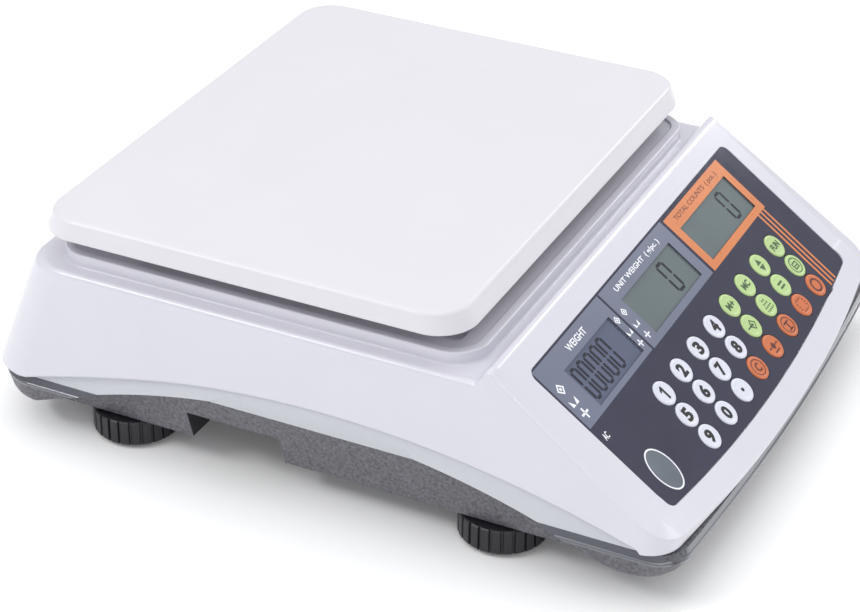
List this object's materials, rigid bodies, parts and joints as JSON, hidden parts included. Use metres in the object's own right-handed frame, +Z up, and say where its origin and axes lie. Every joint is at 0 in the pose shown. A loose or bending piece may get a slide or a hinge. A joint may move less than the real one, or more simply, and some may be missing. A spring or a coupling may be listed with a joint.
{
  "type": "counting scale",
  "caption": "Bench counting scale: square-cornered pan on a single-point load cell, sloping keypad console with three displays, levelling feet.",
  "frame": {"origin": "on the table, under the middle of the case", "axes": "+Z up, +Y from the console to the back, +X to the user's right"},
  "size_m": [0.312, 0.392, 0.129],
  "materials": {
    "white_case": "moulded ABS, semi-gloss",
    "white_pan": "moulded ABS, fine satin",
    "grey_base": "textured ABS",
    "console_foil": "printed polyester foil",
    "display_glass": "reflective display glass",
    "white_key": "printed foil",
    "green_key": "printed foil",
    "orange_key": "printed foil",
    "switch_sheet": "polyester sheet",
    "circuit_board": "solder mask",
    "cast_support": "as cast",
    "machined_cell": "machined",
    "screw_steel": "zinc plated",
    "rubber": "matt",
    "knob_plastic": "moulded, ribbed",
    "black_plastic": "moulded",
    "battery_case": "moulded ABS"
  },
  "bodies": {
    "case": {"base_housing": "grey_base", "upper_housing": "white_case", "load_cell": "machined_cell", "load_cell_base_bolt_1": "screw_steel", "load_cell_base_bolt_2": "screw_steel", "keypad_overlay": "console_foil", "keypad_circuit": "switch_sheet", "main_board": "circuit_board", "lcd_weight": "display_glass", "lcd_unit_weight": "display_glass", "lcd_total": "display_glass", "battery": "battery_case", "battery_cover": "grey_base", "power_switch_body": "black_plastic", "dc_inlet": "black_plastic", "housing_screw_front_left": "screw_steel", "housing_screw_front_right": "screw_steel", "housing_screw_back_left": "screw_steel", "housing_screw_back_right": "screw_steel"},
    "platform": {"pan_support": "cast_support", "pan_cushion_1": "rubber", "pan_cushion_2": "rubber", "pan_cushion_3": "rubber", "pan_cushion_4": "rubber", "load_cell_top_bolt_1": "screw_steel", "load_cell_top_bolt_2": "screw_steel"},
    "pan": {"weighing_pan": "white_pan"},
    "rocker": {"power_rocker": "black_plastic"},
    "key_1": {"key_1": "white_key"},
    "key_2": {"key_2": "white_key"},
    "key_3": {"key_3": "white_key"},
    "key_4": {"key_4": "white_key"},
    "key_5": {"key_5": "white_key"},
    "key_6": {"key_6": "white_key"},
    "key_7": {"key_7": "white_key"},
    "key_8": {"key_8": "white_key"},
    "key_9": {"key_9": "white_key"},
    "key_0": {"key_0": "white_key"},
    "key_point": {"key_point": "white_key"},
    "key_memory_add": {"key_memory_add": "green_key"},
    "key_memory_clear": {"key_memory_clear": "green_key"},
    "key_up_down": {"key_up_down": "green_key"},
    "key_function": {"key_function": "green_key"},
    "key_store": {"key_store": "green_key"},
    "key_sample": {"key_sample": "green_key"},
    "key_equals": {"key_equals": "green_key"},
    "key_box": {"key_box": "green_key"},
    "key_clear": {"key_clear": "orange_key"},
    "key_zero": {"key_zero": "orange_key"},
    "key_tare": {"key_tare": "orange_key"},
    "key_light": {"key_light": "orange_key"},
    "key_power": {"key_power": "orange_key"},
    "foot_pad_front_left": {"foot_pad_front_left": "rubber"},
    "foot_knob_front_left": {"foot_knob_front_left": "knob_plastic"},
    "foot_pad_front_right": {"foot_pad_front_right": "rubber"},
    "foot_knob_front_right": {"foot_knob_front_right": "knob_plastic"},
    "foot_pad_back_left": {"foot_pad_back_left": "rubber"},
    "foot_knob_back_left": {"foot_knob_back_left": "knob_plastic"},
    "foot_pad_back_right": {"foot_pad_back_right": "rubber"},
    "foot_knob_back_right": {"foot_knob_back_right": "knob_plastic"}
  },
  "joints": [
    {"name": "platform_deflection", "type": "slide", "parent": "case", "child": "platform", "axis": [0, 0, 1], "range_m": [-0.0005, 0], "stiffness_N_per_m": 400000, "deforming": ["load_cell"]},
    {"name": "pan_lift", "type": "slide", "parent": "platform", "child": "pan", "axis": [0, 0, 1], "range_m": [0, 0.05]},
    {"name": "power_rocker_tilt", "type": "hinge", "parent": "case", "child": "rocker", "pos_m": [-0.016, 0.1745, 0.053], "axis": [1, 0, 0], "range_deg": [-18, 0]},
    {"name": "key_1_press", "type": "slide", "parent": "case", "child": "key_1", "axis": [0, 0.5821, -0.8131], "range_m": [0, 0.0005], "stiffness_N_per_m": 1500},
    {"name": "key_2_press", "type": "slide", "parent": "case", "child": "key_2", "axis": [0, 0.5821, -0.8131], "range_m": [0, 0.0005], "stiffness_N_per_m": 1500},
    {"name": "key_3_press", "type": "slide", "parent": "case", "child": "key_3", "axis": [0, 0.5821, -0.8131], "range_m": [0, 0.0005], "stiffness_N_per_m": 1500},
    {"name": "key_4_press", "type": "slide", "parent": "case", "child": "key_4", "axis": [0, 0.5821, -0.8131], "range_m": [0, 0.0005], "stiffness_N_per_m": 1500},
    {"name": "key_5_press", "type": "slide", "parent": "case", "child": "key_5", "axis": [0, 0.5821, -0.8131], "range_m": [0, 0.0005], "stiffness_N_per_m": 1500},
    {"name": "key_6_press", "type": "slide", "parent": "case", "child": "key_6", "axis": [0, 0.5821, -0.8131], "range_m": [0, 0.0005], "stiffness_N_per_m": 1500},
    {"name": "key_7_press", "type": "slide", "parent": "case", "child": "key_7", "axis": [0, 0.5821, -0.8131], "range_m": [0, 0.0005], "stiffness_N_per_m": 1500},
    {"name": "key_8_press", "type": "slide", "parent": "case", "child": "key_8", "axis": [0, 0.5821, -0.8131], "range_m": [0, 0.0005], "stiffness_N_per_m": 1500},
    {"name": "key_9_press", "type": "slide", "parent": "case", "child": "key_9", "axis": [0, 0.5821, -0.8131], "range_m": [0, 0.0005], "stiffness_N_per_m": 1500},
    {"name": "key_0_press", "type": "slide", "parent": "case", "child": "key_0", "axis": [0, 0.5821, -0.8131], "range_m": [0, 0.0005], "stiffness_N_per_m": 1500},
    {"name": "key_point_press", "type": "slide", "parent": "case", "child": "key_point", "axis": [0, 0.5821, -0.8131], "range_m": [0, 0.0005], "stiffness_N_per_m": 1500},
    {"name": "key_memory_add_press", "type": "slide", "parent": "case", "child": "key_memory_add", "axis": [0, 0.5821, -0.8131], "range_m": [0, 0.0005], "stiffness_N_per_m": 1500},
    {"name": "key_memory_clear_press", "type": "slide", "parent": "case", "child": "key_memory_clear", "axis": [0, 0.5821, -0.8131], "range_m": [0, 0.0005], "stiffness_N_per_m": 1500},
    {"name": "key_up_down_press", "type": "slide", "parent": "case", "child": "key_up_down", "axis": [0, 0.5821, -0.8131], "range_m": [0, 0.0005], "stiffness_N_per_m": 1500},
    {"name": "key_function_press", "type": "slide", "parent": "case", "child": "key_function", "axis": [0, 0.5821, -0.8131], "range_m": [0, 0.0005], "stiffness_N_per_m": 1500},
    {"name": "key_store_press", "type": "slide", "parent": "case", "child": "key_store", "axis": [0, 0.5821, -0.8131], "range_m": [0, 0.0005], "stiffness_N_per_m": 1500},
    {"name": "key_sample_press", "type": "slide", "parent": "case", "child": "key_sample", "axis": [0, 0.5821, -0.8131], "range_m": [0, 0.0005], "stiffness_N_per_m": 1500},
    {"name": "key_equals_press", "type": "slide", "parent": "case", "child": "key_equals", "axis": [0, 0.5821, -0.8131], "range_m": [0, 0.0005], "stiffness_N_per_m": 1500},
    {"name": "key_box_press", "type": "slide", "parent": "case", "child": "key_box", "axis": [0, 0.5821, -0.8131], "range_m": [0, 0.0005], "stiffness_N_per_m": 1500},
    {"name": "key_clear_press", "type": "slide", "parent": "case", "child": "key_clear", "axis": [0, 0.5821, -0.8131], "range_m": [0, 0.0005], "stiffness_N_per_m": 1500},
    {"name": "key_zero_press", "type": "slide", "parent": "case", "child": "key_zero", "axis": [0, 0.5821, -0.8131], "range_m": [0, 0.0005], "stiffness_N_per_m": 1500},
    {"name": "key_tare_press", "type": "slide", "parent": "case", "child": "key_tare", "axis": [0, 0.5821, -0.8131], "range_m": [0, 0.0005], "stiffness_N_per_m": 1500},
    {"name": "key_light_press", "type": "slide", "parent": "case", "child": "key_light", "axis": [0, 0.5821, -0.8131], "range_m": [0, 0.0005], "stiffness_N_per_m": 1500},
    {"name": "key_power_press", "type": "slide", "parent": "case", "child": "key_power", "axis": [0, 0.5821, -0.8131], "range_m": [0, 0.0005], "stiffness_N_per_m": 1500},
    {"name": "foot_travel_front_left", "type": "slide", "parent": "case", "child": "foot_pad_front_left", "axis": [0, 0, -1], "range_m": [-0.0005, 0.005]},
    {"name": "foot_turn_front_left", "type": "hinge", "parent": "foot_pad_front_left", "child": "foot_knob_front_left", "pos_m": [-0.1245, -0.088, 0.01], "axis": [0, 0, 1], "range_deg": [-145, 1441]},
    {"name": "foot_travel_front_right", "type": "slide", "parent": "case", "child": "foot_pad_front_right", "axis": [0, 0, -1], "range_m": [-0.0005, 0.005]},
    {"name": "foot_turn_front_right", "type": "hinge", "parent": "foot_pad_front_right", "child": "foot_knob_front_right", "pos_m": [0.1245, -0.088, 0.01], "axis": [0, 0, 1], "range_deg": [-145, 1441]},
    {"name": "foot_travel_back_left", "type": "slide", "parent": "case", "child": "foot_pad_back_left", "axis": [0, 0, -1], "range_m": [-0.0005, 0.005]},
    {"name": "foot_turn_back_left", "type": "hinge", "parent": "foot_pad_back_left", "child": "foot_knob_back_left", "pos_m": [-0.1245, 0.123, 0.01], "axis": [0, 0, 1], "range_deg": [-145, 1441]},
    {"name": "foot_travel_back_right", "type": "slide", "parent": "case", "child": "foot_pad_back_right", "axis": [0, 0, -1], "range_m": [-0.0005, 0.005]},
    {"name": "foot_turn_back_right", "type": "hinge", "parent": "foot_pad_back_right", "child": "foot_knob_back_right", "pos_m": [0.1245, 0.123, 0.01], "axis": [0, 0, 1], "range_deg": [-145, 1441]}
  ],
  "couplings": [
    {"joint": "foot_turn_front_left", "follows": "foot_travel_front_left", "rad_per_m": 5026.5},
    {"joint": "foot_turn_front_right", "follows": "foot_travel_front_right", "rad_per_m": 5026.5},
    {"joint": "foot_turn_back_left", "follows": "foot_travel_back_left", "rad_per_m": 5026.5},
    {"joint": "foot_turn_back_right", "follows": "foot_travel_back_right", "rad_per_m": 5026.5}
  ]
}
